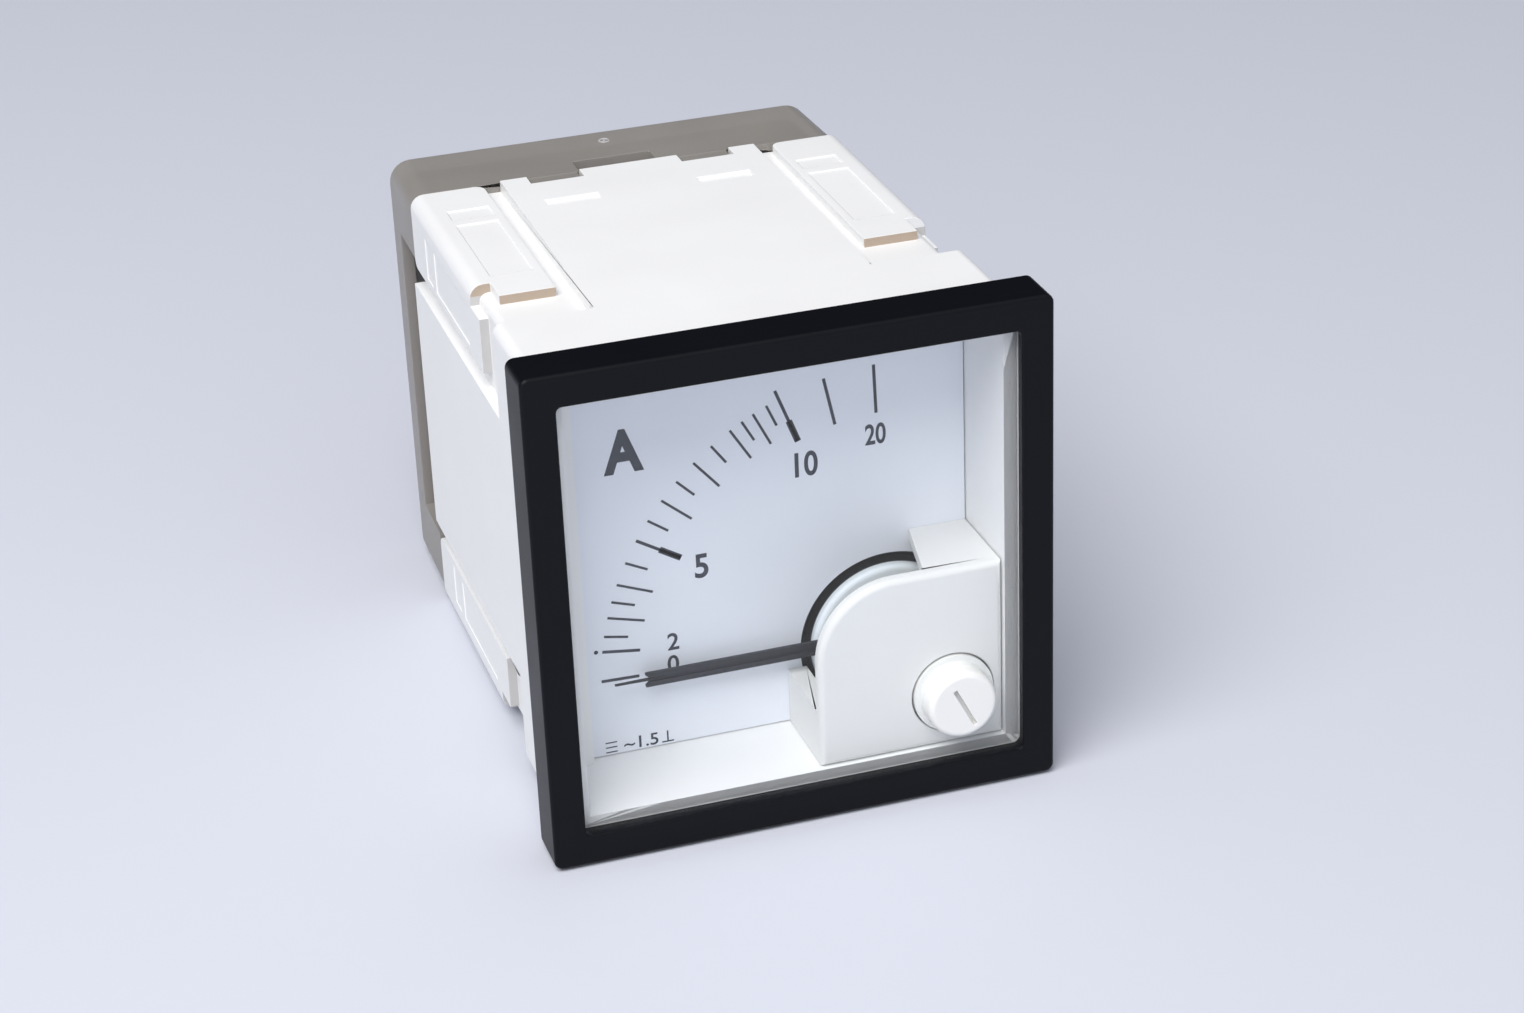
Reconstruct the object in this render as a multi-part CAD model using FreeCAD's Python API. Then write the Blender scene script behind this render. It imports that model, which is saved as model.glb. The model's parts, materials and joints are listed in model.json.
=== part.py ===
"""Panel ammeter, 48 x 48 mm front, moving-iron movement with a 90 degree scale.

Millimetres. The origin is the centre of the bezel's rear face, which seats on the panel.
+X is to the right seen from the front, +Y goes back into the panel, +Z is up.
"""
import FreeCAD, Part
import math
import os

# Front
FRONT_SIDE = 48.0
BEZEL_DEPTH = 5.0
BEZEL_CORNER = 0.8
BEZEL_CHAMFER = 0.35
OPENING_HALF = 20.95
OPENING_FLARE = 0.3
LIP_DEPTH = 0.9
POCKET_HALF = 21.5
REBATE_DEPTH = 0.6

# Window
WINDOW_HALF = 21.4
WINDOW_THICK = 1.2
WINDOW_STEP = 0.5
WINDOW_COLLAR_R = 3.95
WINDOW_HOLE_R = 3.65

# Dial frame and dial
FRAME_HALF = 21.4
WELL_HALF = 20.0
WELL_FLOOR = -20.3
DIAL_Y = 6.8
DIAL_THICK = 0.5
DIAL_GAP = 0.1
FRAME_BACK = 8.3
LEDGE_WIDTH = 2.8
LEDGE_THICK = 0.9
DIAL_HOLE_R = 8.7

# Movement axis
PIVOT_X = 12.1
PIVOT_Z = -13.2

# Movement cover
COVER_LEFT = 2.1
COVER_RIGHT = 19.9
COVER_TOP = -2.4
COVER_BOTTOM = -20.25
COVER_FRONT = -2.6
COVER_SKIN = 1.2
COVER_CORNER = 7.5
COVER_EDGE = 0.6
COVER_GAP_R = 8.5
COVER_SIDE_TOP = -14.75
COVER_ROOF_FRONT = 12.6
COVER_ROOF_BACK = 14.3

# Zero adjuster
ADJUST_X = 15.0
ADJUST_Z = -15.0
ADJUST_HEAD_R = 3.57
ADJUST_FRONT = -5.4
ADJUST_FLANGE_R = 3.85
ADJUST_HOLE_R = 4.0
ADJUST_SLOT = 0.6
ADJUST_SLOT_LENGTH = 5.2
ADJUST_SLOT_DEPTH = 0.9
ADJUST_SLOT_TURN = 59.0
PIN_OFFSET = 0.6
PIN_R = 0.4
PIN_GAP = 0.06

# Front bearing
LEVER_FRONT = 0.65
LEVER_THICK = 0.4
BRIDGE_FRONT = 1.15
BRIDGE_THICK = 0.85
JEWEL_R = 1.2
JEWEL_GAP = 0.06
STUD_RADIUS = 3.9

# Pointer and spindle
POINTER_Y = 5.2
POINTER_THICK = 0.35
POINTER_RAISE = 0.95
POINTER_TIP = 27.0
POINTER_BAR_END = 23.3
POINTER_BAR = 1.45
NEEDLE = 0.36
SPINDLE_R = 0.55
SPINDLE_FRONT = 2.7
SPINDLE_BACK = 27.4
TAIL_RADIUS = 3.9
TAIL_SPREAD = 35.0

# Coil
DRUM_R = 7.7
DRUM_FRONT = 5.9
DRUM_BACK = 8.4
BOBBIN_BORE_R = 4.2
BOBBIN_BARREL_R = 5.0
WINDING_R = 7.05
WINDING_BACK = 20.0
BOBBIN_BACK = 21.2
CHAMBER_R = 7.0
CHAMBER_BACK = 26.6
LID_BACK = 27.1

# Case
CASE_HALF = 22.0
CASE_CORE = 21.1
CASE_FLANGE = 22.25
CASE_FLANGE_BACK = 12.0
CASE_INSIDE = 20.3
CASE_BACK = 46.5
CASE_CORNER = 1.3
PAD_INNER = 14.7
PAD_FRONT = 18.5
PAD_SIDE_FRONT = 21.8
PAD_SIDE = 20.0
PANEL_HALF = 13.0
RECESS = 0.12
RECESS_SPANS = ((23.5, 37.0), (38.4, 40.9))
WALL_FRONT = 43.4
WALL_BACK = 45.0
TONGUE_INNER = 5.0
TONGUE_OUTER = 10.3
LATCH_Y = 38.0
LATCH_LENGTH = 1.6
LATCH_DEPTH = 0.3

# Rear cover
REAR_BACK = 57.5
REAR_FRONT_HALF = 22.0
REAR_BACK_HALF = 21.85
REAR_WALL = 1.2
REAR_CORNER = 2.2
ENTRY_LOW = -14.5
ENTRY_HIGH = 15.5
ENTRY_BACK = 53.5
KEY_LEFT = -4.9
KEY_RIGHT = 3.0
KEY_BACK = 49.5
DRIVER_HOLE_R = 3.4

# Terminals
TERMINAL_X = 9.5
TERMINAL_HALF = 4.5
TERMINAL_THICK = 1.2
SCREW_R = 2.0
SCREW_GAP = 0.06
SCREW_HEAD_R = 3.4
BOSS_R = 3.3
BOSS_FRONT = 40.6
CLAMP_HALF = 4.0
CLAMP_THICK = 1.0
WASHER_R = 3.8
WASHER_THICK = 0.6
HEAD_THICK = 2.6


def vec(x, y, z):
    return FreeCAD.Vector(x, y, z)


AXIS_Y = vec(0, 1, 0)
PIVOT = vec(PIVOT_X, 0, PIVOT_Z)


def block(x0, x1, y0, y1, z0, z1):
    return Part.makeBox(x1 - x0, y1 - y0, z1 - z0, vec(x0, y0, z0))


def square(half, y0, y1):
    return block(-half, half, y0, y1, -half, half)


def rod(x, z, radius, y0, y1):
    return Part.makeCylinder(radius, y1 - y0, vec(x, y0, z), AXIS_Y)


def cone(x, z, radius0, radius1, y0, y1):
    return Part.makeCone(radius0, radius1, y1 - y0, vec(x, y0, z), AXIS_Y)


def tube(x, z, outer, inner, y0, y1):
    return rod(x, z, outer, y0, y1).cut(rod(x, z, inner, y0 - 1, y1 + 1))


def turned(shape, degrees, centre=vec(0, 0, 0)):
    """A copy turned about the Y axis through centre, by the right-hand rule."""
    copy = shape.copy()
    copy.rotate(centre, AXIS_Y, degrees)
    return copy


def edges_along_y(shape, y0, y1):
    chosen = []
    for edge in shape.Edges:
        box = edge.BoundBox
        if box.XLength < 1e-6 and box.ZLength < 1e-6 and box.YMin > y0 and box.YMax < y1:
            chosen.append(edge)
    return chosen


def edges_in_plane(shape, y):
    return [e for e in shape.Edges if abs(e.BoundBox.YMin - y) < 1e-6 and abs(e.BoundBox.YMax - y) < 1e-6]


def rounded_square(half, y0, y1, radius):
    solid = square(half, y0, y1)
    return solid.makeFillet(radius, edges_along_y(solid, y0 - 1, y1 + 1))


def square_loft(half0, radius0, y0, half1, radius1, y1):
    """A tapered square block with rounded corners."""
    wires = []
    for half, radius, y in ((half0, radius0, y0), (half1, radius1, y1)):
        solid = rounded_square(half, y, y + 1, radius)
        face = [f for f in solid.Faces if f.BoundBox.YMax < y + 1e-6][0]
        wires.append(face.OuterWire)
    return Part.makeLoft(wires, True, True)


def polar(radius, degrees, y):
    """A point at radius from the movement axis; 0 degrees is right, 90 is up."""
    turn = math.radians(degrees)
    return vec(PIVOT_X + radius * math.cos(turn), y, PIVOT_Z + radius * math.sin(turn))


def strip(inner, outer, width0, width1, degrees, y0, y1):
    """A flat arm from radius inner to outer, width0 wide at its start and width1 at its end."""
    corners = [
        vec(PIVOT_X + inner, y0, PIVOT_Z - width0 / 2),
        vec(PIVOT_X + outer, y0, PIVOT_Z - width1 / 2),
        vec(PIVOT_X + outer, y0, PIVOT_Z + width1 / 2),
        vec(PIVOT_X + inner, y0, PIVOT_Z + width0 / 2),
    ]
    face = Part.Face(Part.makePolygon(corners + corners[:1]))
    return turned(face.extrude(vec(0, y1 - y0, 0)), -degrees, PIVOT)


def sector(outer, inner, degrees, span, y0, y1):
    """Part of a tube about the movement axis, span degrees wide and centred on degrees."""
    shell = tube(PIVOT_X, PIVOT_Z, outer, inner, y0, y1)
    reach = 4 * outer
    ends = []
    for end in (-span / 2, span / 2):
        point = polar(reach, degrees + end, y0)
        ends.append(point)
    wedge = Part.Face(Part.makePolygon([vec(PIVOT_X, y0, PIVOT_Z)] + ends + [vec(PIVOT_X, y0, PIVOT_Z)]))
    return shell.common(wedge.extrude(vec(0, y1 - y0, 0)))


def four_faces(shape):
    """The shape on the top, and turned to the other three faces of the case."""
    return [turned(shape, quarter * 90) for quarter in range(4)]


def front_bezel():
    solid = rounded_square(FRONT_SIDE / 2, -BEZEL_DEPTH, 0, BEZEL_CORNER)
    solid = solid.makeChamfer(BEZEL_CHAMFER, edges_in_plane(solid, -BEZEL_DEPTH))
    lip_back = -BEZEL_DEPTH + LIP_DEPTH
    flare = square_loft(OPENING_HALF + OPENING_FLARE, 0.7, -BEZEL_DEPTH, OPENING_HALF, 0.4, lip_back)
    solid = solid.cut(flare)
    solid = solid.cut(rounded_square(POCKET_HALF, lip_back, 1, 0.6))
    return solid.cut(rounded_square(CASE_FLANGE + 0.05, -REBATE_DEPTH, 1, 1.0))


def window():
    front = -BEZEL_DEPTH + LIP_DEPTH
    back = front + WINDOW_THICK
    solid = rounded_square(WINDOW_HALF, front, back, 0.5)
    step = square(WINDOW_HALF + 1, back - WINDOW_STEP, back + 1)
    step = step.cut(square(OPENING_HALF - WINDOW_STEP, back - WINDOW_STEP - 1, back + 2))
    solid = solid.cut(step)
    solid = solid.fuse(rod(ADJUST_X, ADJUST_Z, WINDOW_COLLAR_R, front - 0.35, back))
    return solid.cut(rod(ADJUST_X, ADJUST_Z, WINDOW_HOLE_R, front - 1, back + 1))


def dial_frame():
    """White well: four walls in front of the dial, and a floor behind it."""
    front = -BEZEL_DEPTH + LIP_DEPTH + WINDOW_THICK
    solid = rounded_square(FRAME_HALF, front, FRAME_BACK, 0.7)
    back = DIAL_Y + DIAL_THICK
    well = block(-WELL_HALF, WELL_HALF, front - 1, back, WELL_FLOOR, WELL_HALF)
    solid = solid.cut(well)
    ledge_front = DIAL_Y - LEDGE_THICK
    ledge = block(-WELL_HALF - 0.2, -WELL_HALF + LEDGE_WIDTH, ledge_front, DIAL_Y, WELL_FLOOR, WELL_HALF)
    solid = solid.fuse(ledge)
    solid = solid.cut(rod(PIVOT_X, PIVOT_Z, DIAL_HOLE_R, back - 1, FRAME_BACK + 1).common(inside_well()))
    corner = block(PIVOT_X, WELL_HALF, back, FRAME_BACK + 1, WELL_FLOOR, PIVOT_Z)
    solid = solid.cut(corner)
    for x, z in frame_screw_places():
        solid = solid.cut(rod(x, z, 0.85, back - 1, FRAME_BACK + 1))
    return solid.removeSplitter()


def inside_well():
    return block(-WELL_HALF, WELL_HALF, -10, 20, WELL_FLOOR, WELL_HALF)


def frame_screw_places():
    """Three screws hold the movement frame to the dial frame's floor."""
    return ((4.1, -5.0), (3.9, -18.9), (18.4, -4.4))


def dial_plate():
    half = WELL_HALF - DIAL_GAP
    solid = block(-half, half, DIAL_Y, DIAL_Y + DIAL_THICK, WELL_FLOOR + DIAL_GAP, half)
    solid = solid.cut(rod(PIVOT_X, PIVOT_Z, DIAL_HOLE_R, DIAL_Y - 1, DIAL_Y + 2))
    return solid.cut(block(PIVOT_X, WELL_HALF + 1, DIAL_Y - 1, DIAL_Y + 2, WELL_FLOOR - 1, PIVOT_Z))


def movement_cover():
    """Cover with a round upper left corner; it is open there for the pointer to swing."""
    back = COVER_FRONT + COVER_SKIN
    skin = block(COVER_LEFT, COVER_RIGHT, COVER_FRONT, back, COVER_BOTTOM, COVER_TOP)
    uprights = edges_along_y(skin, -10, 20)
    corner = [e for e in uprights if e.BoundBox.XMin < COVER_LEFT + 1 and e.BoundBox.ZMin > COVER_TOP - 1]
    skin = skin.makeFillet(COVER_CORNER, corner)
    skin = skin.makeFillet(COVER_EDGE, edges_in_plane(skin, COVER_FRONT))
    right = block(COVER_RIGHT - 1.1, COVER_RIGHT, back - 0.2, DIAL_Y, COVER_BOTTOM, COVER_TOP)
    bottom = block(COVER_LEFT, COVER_RIGHT, back - 0.2, DIAL_Y, COVER_BOTTOM, COVER_BOTTOM + 0.6)
    left = block(COVER_LEFT, PIVOT_X - 3, back - 0.2, DIAL_Y, COVER_BOTTOM, COVER_SIDE_TOP)
    left = left.cut(rod(PIVOT_X, PIVOT_Z, COVER_GAP_R, back - 1, DIAL_Y + 1))
    top_corners = [
        vec(COVER_ROOF_FRONT, back - 0.2, 0),
        vec(COVER_ROOF_BACK, DIAL_Y, 0),
        vec(COVER_RIGHT, DIAL_Y, 0),
        vec(COVER_RIGHT, back - 0.2, 0),
    ]
    top = Part.Face(Part.makePolygon(top_corners + top_corners[:1]))
    top.translate(vec(0, 0, COVER_TOP - COVER_SKIN))
    solid = skin.multiFuse([right, bottom, left, top.extrude(vec(0, 0, COVER_SKIN))])
    solid = solid.cut(rod(PIVOT_X, PIVOT_Z, DRUM_R + 0.25, DRUM_FRONT - 0.25, DIAL_Y + 1))
    return solid.cut(rod(ADJUST_X, ADJUST_Z, ADJUST_HOLE_R, COVER_FRONT - 1, back + 0.5)).removeSplitter()


def lever_direction():
    """Direction in degrees from the movement axis to the adjuster's axis."""
    return math.degrees(math.atan2(ADJUST_Z - PIVOT_Z, ADJUST_X - PIVOT_X))


def lever_distance():
    return math.hypot(ADJUST_Z - PIVOT_Z, ADJUST_X - PIVOT_X)


def zero_adjuster():
    """Slotted knob in the window; its eccentric pin moves the zero lever."""
    window_back = -BEZEL_DEPTH + LIP_DEPTH + WINDOW_THICK
    head = rod(ADJUST_X, ADJUST_Z, ADJUST_HEAD_R, ADJUST_FRONT, window_back + 0.1)
    head = head.makeFillet(0.55, edges_in_plane(head, ADJUST_FRONT))
    flange = rod(ADJUST_X, ADJUST_Z, ADJUST_FLANGE_R, window_back + 0.1, window_back + 0.9)
    hub = rod(ADJUST_X, ADJUST_Z, 2.4, window_back + 0.9, LEVER_FRONT - 0.5)
    pin_at = polar(lever_distance() + PIN_OFFSET, lever_direction(), 0)
    pin = rod(pin_at.x, pin_at.z, PIN_R, LEVER_FRONT - 0.6, LEVER_FRONT + LEVER_THICK + 0.35)
    solid = head.multiFuse([flange, hub, pin])
    half = ADJUST_SLOT_LENGTH / 2
    wide = ADJUST_SLOT / 2
    slot = block(-half, half, ADJUST_FRONT - 1, ADJUST_FRONT + ADJUST_SLOT_DEPTH, -wide, wide)
    slot = turned(slot, ADJUST_SLOT_TURN)
    slot.translate(vec(ADJUST_X, 0, ADJUST_Z))
    return solid.cut(slot).removeSplitter()


def zero_lever():
    back = LEVER_FRONT + LEVER_THICK
    way = lever_direction()
    reach = lever_distance() + PIN_OFFSET
    ring = rod(PIVOT_X, PIVOT_Z, 2.2, LEVER_FRONT, back)
    arm = strip(0, reach + 1.3, 2.6, 2.2, way, LEVER_FRONT, back)
    tail = strip(0, STUD_RADIUS + 0.6, 1.6, 1.2, way + 180, LEVER_FRONT, back)
    stud_at = polar(STUD_RADIUS, way + 180, 0)
    stud = rod(stud_at.x, stud_at.z, 0.35, LEVER_FRONT, 3.5)
    solid = ring.multiFuse([arm, tail, stud])
    width = 2 * (PIN_R + PIN_GAP)
    slot = strip(reach - 0.75, reach + 0.75, width, width, way, LEVER_FRONT - 1, back + 1)
    solid = solid.cut(slot)
    return solid.cut(rod(PIVOT_X, PIVOT_Z, JEWEL_R + JEWEL_GAP, LEVER_FRONT - 1, back + 1)).removeSplitter()


def front_bridge():
    """Brass bridge over the drum, on two feet clear of the pointer's and the tail's sweep."""
    back = BRIDGE_FRONT + BRIDGE_THICK
    pieces = []
    for way in (45, 225):
        pieces.append(strip(0, 6.6, 2.8, 2.8, way, BRIDGE_FRONT, back))
        pieces.append(strip(5.7, 6.6, 2.8, 2.8, way, BRIDGE_FRONT, DRUM_FRONT))
    solid = pieces[0].multiFuse(pieces[1:])
    return solid.cut(rod(PIVOT_X, PIVOT_Z, JEWEL_R, BRIDGE_FRONT - 1, back + 1)).removeSplitter()


def front_jewel():
    solid = rod(PIVOT_X, PIVOT_Z, JEWEL_R, 0.35, SPINDLE_FRONT - 0.1)
    solid = solid.cut(strip(-2, 2, 0.35, 0.35, 20, 0, 0.65))
    return solid.cut(rod(PIVOT_X, PIVOT_Z, 0.3, SPINDLE_FRONT - 0.75, SPINDLE_FRONT))


def rear_jewel():
    solid = rod(PIVOT_X, PIVOT_Z, JEWEL_R, SPINDLE_BACK + 0.1, 31.0)
    solid = solid.cut(strip(-2, 2, 0.35, 0.35, 110, 30.6, 31.5))
    return solid.cut(rod(PIVOT_X, PIVOT_Z, 0.3, SPINDLE_BACK - 0.5, SPINDLE_BACK + 0.75))


def rear_jewel_nut():
    corners = [polar(2.4, 60 * k, 29.0) for k in range(6)]
    solid = Part.Face(Part.makePolygon(corners + corners[:1])).extrude(vec(0, 0.9, 0))
    return solid.cut(rod(PIVOT_X, PIVOT_Z, JEWEL_R, 28, 31))


def hairspring():
    """Flat spiral of half circles about two centres, which makes each turn lead into the next."""
    inner_r = 1.35
    pitch = 0.62
    half_strip = 0.07
    y0 = 2.85
    y1 = 3.35
    solids = []
    for half_turn in range(6):
        radius = inner_r + half_turn * pitch / 2
        side = 1 if half_turn % 2 == 0 else -1
        shift = 0 if half_turn % 2 == 0 else pitch / 2
        ring = tube(PIVOT_X + shift, PIVOT_Z, radius + half_strip, radius - half_strip, y0, y1)
        low = 0 if side > 0 else -10
        half = block(PIVOT_X - 10, PIVOT_X + 10, y0 - 1, y1 + 1, PIVOT_Z + low, PIVOT_Z + low + 10)
        solids.append(ring.common(half))
    return turned(solids[0].multiFuse(solids[1:]).removeSplitter(), 180 - 35, PIVOT)


def pointer():
    """Flat pointer in its zero position, pointing left, with a forked balance tail.

    The arm is raised a little above the axis, so that its tip lies on the zero mark.
    """
    y1 = POINTER_Y + POINTER_THICK
    arm = [
        strip(0.5, POINTER_BAR_END, POINTER_BAR, POINTER_BAR, 180, POINTER_Y, y1),
        strip(POINTER_BAR_END, POINTER_BAR_END + 0.8, POINTER_BAR, NEEDLE, 180, POINTER_Y, y1),
        strip(POINTER_BAR_END, POINTER_TIP, NEEDLE, NEEDLE * 0.8, 180, POINTER_Y, y1),
    ]
    for piece in arm:
        piece.translate(vec(0, 0, POINTER_RAISE))
    tail = [
        strip(1, TAIL_RADIUS, 0.7, 0.7, TAIL_SPREAD, POINTER_Y, y1),
        strip(1, TAIL_RADIUS, 0.7, 0.7, -TAIL_SPREAD, POINTER_Y, y1),
    ]
    solid = rod(PIVOT_X, PIVOT_Z, 1.7, POINTER_Y, y1).multiFuse(arm + tail)
    return solid.cut(rod(PIVOT_X, PIVOT_Z, 0.95, POINTER_Y - 1, y1 + 1)).removeSplitter()


def pointer_hub():
    """Bush on the spindle; its collar is behind the pointer, inside the drum's bore."""
    collar = POINTER_Y + POINTER_THICK
    end = collar + 0.9
    solid = rod(PIVOT_X, PIVOT_Z, 0.95, POINTER_Y - 0.5, end).fuse(rod(PIVOT_X, PIVOT_Z, 1.4, collar, end))
    return solid.cut(rod(PIVOT_X, PIVOT_Z, SPINDLE_R, 2, end + 1)).removeSplitter()


def counterweights():
    solids = []
    for way in (TAIL_SPREAD, -TAIL_SPREAD):
        at = polar(TAIL_RADIUS, way, 0)
        solids.append(rod(at.x, at.z, 0.6, POINTER_Y - 0.9, POINTER_Y))
    return Part.makeCompound(solids)


def spindle():
    solid = rod(PIVOT_X, PIVOT_Z, SPINDLE_R, SPINDLE_FRONT, SPINDLE_BACK)
    front = cone(PIVOT_X, PIVOT_Z, 0.05, 0.24, SPINDLE_FRONT - 0.6, SPINDLE_FRONT)
    back = cone(PIVOT_X, PIVOT_Z, 0.24, 0.05, SPINDLE_BACK, SPINDLE_BACK + 0.6)
    return solid.multiFuse([front, back])


def moving_vane():
    """Curved iron vane on a web, opposite the pointer, so that it helps to balance it."""
    blade = sector(3.35, 3.0, 0, 54, 10.0, 18.0)
    web = strip(0, 3.1, 0.4, 0.4, 0, 11.5, 16.5)
    collar = rod(PIVOT_X, PIVOT_Z, 0.95, 11.0, 17.0)
    return blade.multiFuse([web, collar]).cut(rod(PIVOT_X, PIVOT_Z, SPINDLE_R, 5, 20)).removeSplitter()


def fixed_vane():
    """Iron vane against the bobbin's bore, lower at one end, which sets the scale's spread."""
    blade = sector(4.15, 3.8, 60, 110, 9.5, 18.5)
    cut_at = polar(6, 60, 0)
    taper = Part.makeBox(20, 12, 20, vec(cut_at.x - 10, 14.0, cut_at.z - 10))
    taper.rotate(vec(cut_at.x, 14.0, cut_at.z), vec(1, 0, 1), 22)
    trimmed = blade.cut(taper)
    return max(trimmed.Solids, key=lambda s: s.Volume)


def damping_vane():
    blade = strip(0, 6.0, 0.3, 0.3, 10, 22.4, 25.8)
    collar = rod(PIVOT_X, PIVOT_Z, 0.95, 22.9, 25.3)
    return blade.fuse(collar).cut(rod(PIVOT_X, PIVOT_Z, SPINDLE_R, 20, 28)).removeSplitter()


def damping_chamber():
    solid = rod(PIVOT_X, PIVOT_Z, CHAMBER_R, BOBBIN_BACK, CHAMBER_BACK)
    solid = solid.cut(rod(PIVOT_X, PIVOT_Z, CHAMBER_R - 0.7, BOBBIN_BACK + 0.6, CHAMBER_BACK + 1))
    return solid.cut(rod(PIVOT_X, PIVOT_Z, 1.3, BOBBIN_BACK - 1, CHAMBER_BACK))


def damping_lid():
    return tube(PIVOT_X, PIVOT_Z, CHAMBER_R, 1.0, CHAMBER_BACK, LID_BACK)


def coil_bobbin():
    solid = rod(PIVOT_X, PIVOT_Z, DRUM_R, DRUM_FRONT, DRUM_BACK)
    solid = solid.makeFillet(0.5, edges_in_plane(solid, DRUM_FRONT))
    barrel = rod(PIVOT_X, PIVOT_Z, BOBBIN_BARREL_R, DRUM_BACK, WINDING_BACK)
    back = rod(PIVOT_X, PIVOT_Z, WINDING_R, WINDING_BACK, BOBBIN_BACK)
    solid = solid.multiFuse([barrel, back])
    solid = solid.common(block(0, WELL_HALF - 0.1, 0, 30, WELL_FLOOR + 0.1, 0))
    return solid.cut(rod(PIVOT_X, PIVOT_Z, BOBBIN_BORE_R, 0, 30)).removeSplitter()


def coil_winding():
    return tube(PIVOT_X, PIVOT_Z, WINDING_R, BOBBIN_BARREL_R, DRUM_BACK, WINDING_BACK)


def movement_frame():
    """Pressed frame round the coil: a front plate, two arms and a rear plate for the rear bearing."""
    front = FRAME_BACK + 0.1
    plate = block(2.6, 19.6, front, front + 1, -20.0, -3.2)
    plate = plate.cut(rod(PIVOT_X, PIVOT_Z, WINDING_R + 0.1, 0, 20))
    plate = plate.cut(block(PIVOT_X, 20, 0, 20, -20.1, PIVOT_Z))
    left = block(2.8, 3.8, front + 1, 29.0, -16.8, -9.6)
    top = block(8.5, 15.7, front + 1, 29.0, -4.9, -3.9)
    rear = block(2.8, 15.7, 28.0, 29.0, -16.8, -3.9)
    solid = plate.multiFuse([left, top, rear])
    solid = solid.cut(rod(PIVOT_X, PIVOT_Z, JEWEL_R, 25, 31))
    for x, z in frame_screw_places():
        solid = solid.cut(rod(x, z, 0.95, 0, front + 1.5))
    return solid.removeSplitter()


def movement_screws():
    solids = []
    start = DIAL_Y + DIAL_THICK + 0.05
    head = FRAME_BACK + 1.1
    for x, z in frame_screw_places():
        screw = rod(x, z, 0.85, start, head).fuse(rod(x, z, 1.25, head, head + 0.9))
        solids.append(screw.cut(block(x - 2, x + 2, head + 0.5, head + 2, z - 0.2, z + 0.2)))
    return Part.makeCompound(solids)


def pointer_stops():
    """Pins on the drum, just past each end of the pointer's swing."""
    solids = []
    for way in (186.0, 67.5):
        at = polar(5.5, way, 0)
        solids.append(rod(at.x, at.z, 0.3, POINTER_Y - 0.3, DRUM_FRONT))
    return Part.makeCompound(solids)


def terminal_plate(side):
    """Copper plate with a threaded boss, and a tab inside the case for the coil's lead."""
    x = side * TERMINAL_X
    back = WALL_BACK + TERMINAL_THICK
    plate = block(x - TERMINAL_HALF, x + TERMINAL_HALF, WALL_BACK, back, -TERMINAL_HALF, TERMINAL_HALF)
    boss = rod(x, 0, BOSS_R, BOSS_FRONT, WALL_BACK)
    near = side * (TERMINAL_X - TERMINAL_HALF)
    far = near + side
    tab = block(min(near, far), max(near, far), 37.0, WALL_BACK, -1.8, 1.8)
    solid = plate.multiFuse([boss, tab])
    return solid.cut(rod(x, 0, SCREW_R + SCREW_GAP, BOSS_FRONT - 1, back + 1)).removeSplitter()


def clamp_washer(side):
    x = side * TERMINAL_X
    start = WALL_BACK + TERMINAL_THICK
    middle = start + CLAMP_THICK
    clamp = block(x - CLAMP_HALF, x + CLAMP_HALF, start, middle, -CLAMP_HALF, CLAMP_HALF)
    clamp = clamp.makeFillet(0.5, edges_along_y(clamp, 0, 60))
    solid = clamp.fuse(rod(x, 0, WASHER_R, middle, middle + WASHER_THICK))
    return solid.cut(rod(x, 0, SCREW_R + 0.08, 40, 60)).removeSplitter()


def terminal_screw(side):
    x = side * TERMINAL_X
    start = WALL_BACK + TERMINAL_THICK + CLAMP_THICK + WASHER_THICK
    end = start + HEAD_THICK
    head = rod(x, 0, SCREW_HEAD_R, start, end)
    head = head.makeFillet(0.6, edges_in_plane(head, end))
    shank = rod(x, 0, SCREW_R, BOSS_FRONT + 0.6, start)
    slot = block(x - 2.6, x + 2.6, end - 1.2, end + 1, -0.45, 0.45)
    cross = turned(block(x - 1.9, x + 1.9, end - 1.5, end + 1, -0.4, 0.4), 90, vec(x, 0, 0))
    return head.fuse(shank).cut(slot).cut(cross).removeSplitter()


def wire(points, radius):
    """Round wire through the points, with a ball at each bend."""
    pieces = []
    for start, end in zip(points, points[1:]):
        run = end.sub(start)
        pieces.append(Part.makeCylinder(radius, run.Length, start, run))
    for point in points[1:-1]:
        pieces.append(Part.makeSphere(radius, point))
    return pieces[0].multiFuse(pieces[1:])


def coil_leads():
    tab_x = TERMINAL_X - TERMINAL_HALF + 0.5
    left = [vec(6.2, 18, -7.3), vec(0, 19, -1.5), vec(-tab_x, 30, 0), vec(-tab_x, 37, 0)]
    right = [vec(6.2, 12.5, -7.3), vec(4.5, 15, -1.5), vec(tab_x, 30, 0), vec(tab_x, 37, 0)]
    return Part.makeCompound([wire(left, 0.7), wire(right, 0.7)])


def case_outside():
    solid = rounded_square(CASE_CORE, 0, CASE_BACK, 0.8)
    solid = solid.fuse(rounded_square(CASE_FLANGE, -REBATE_DEPTH, CASE_FLANGE_BACK, 1.0))
    # One raised layer per face; where two faces' pads meet they make the case's corners
    pads = rounded_square(CASE_HALF, PAD_FRONT, CASE_BACK, CASE_CORNER)
    for lane in four_faces(block(-PAD_INNER, PAD_INNER, 0, 60, CASE_CORE, 30)):
        pads = pads.cut(lane)
    for corner in four_faces(block(PAD_SIDE, 30, 0, PAD_SIDE_FRONT, PAD_SIDE, 30)):
        pads = pads.cut(corner)
    solid = solid.fuse(pads)
    # The middle of each face is level with the flange and runs from it to the rear edge
    panel_front = CASE_FLANGE_BACK - 0.5
    top_panel = block(-PANEL_HALF, PANEL_HALF, panel_front, CASE_BACK, CASE_CORE - 1, CASE_FLANGE)
    for panel in four_faces(top_panel):
        solid = solid.fuse(panel)
    return solid


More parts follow.
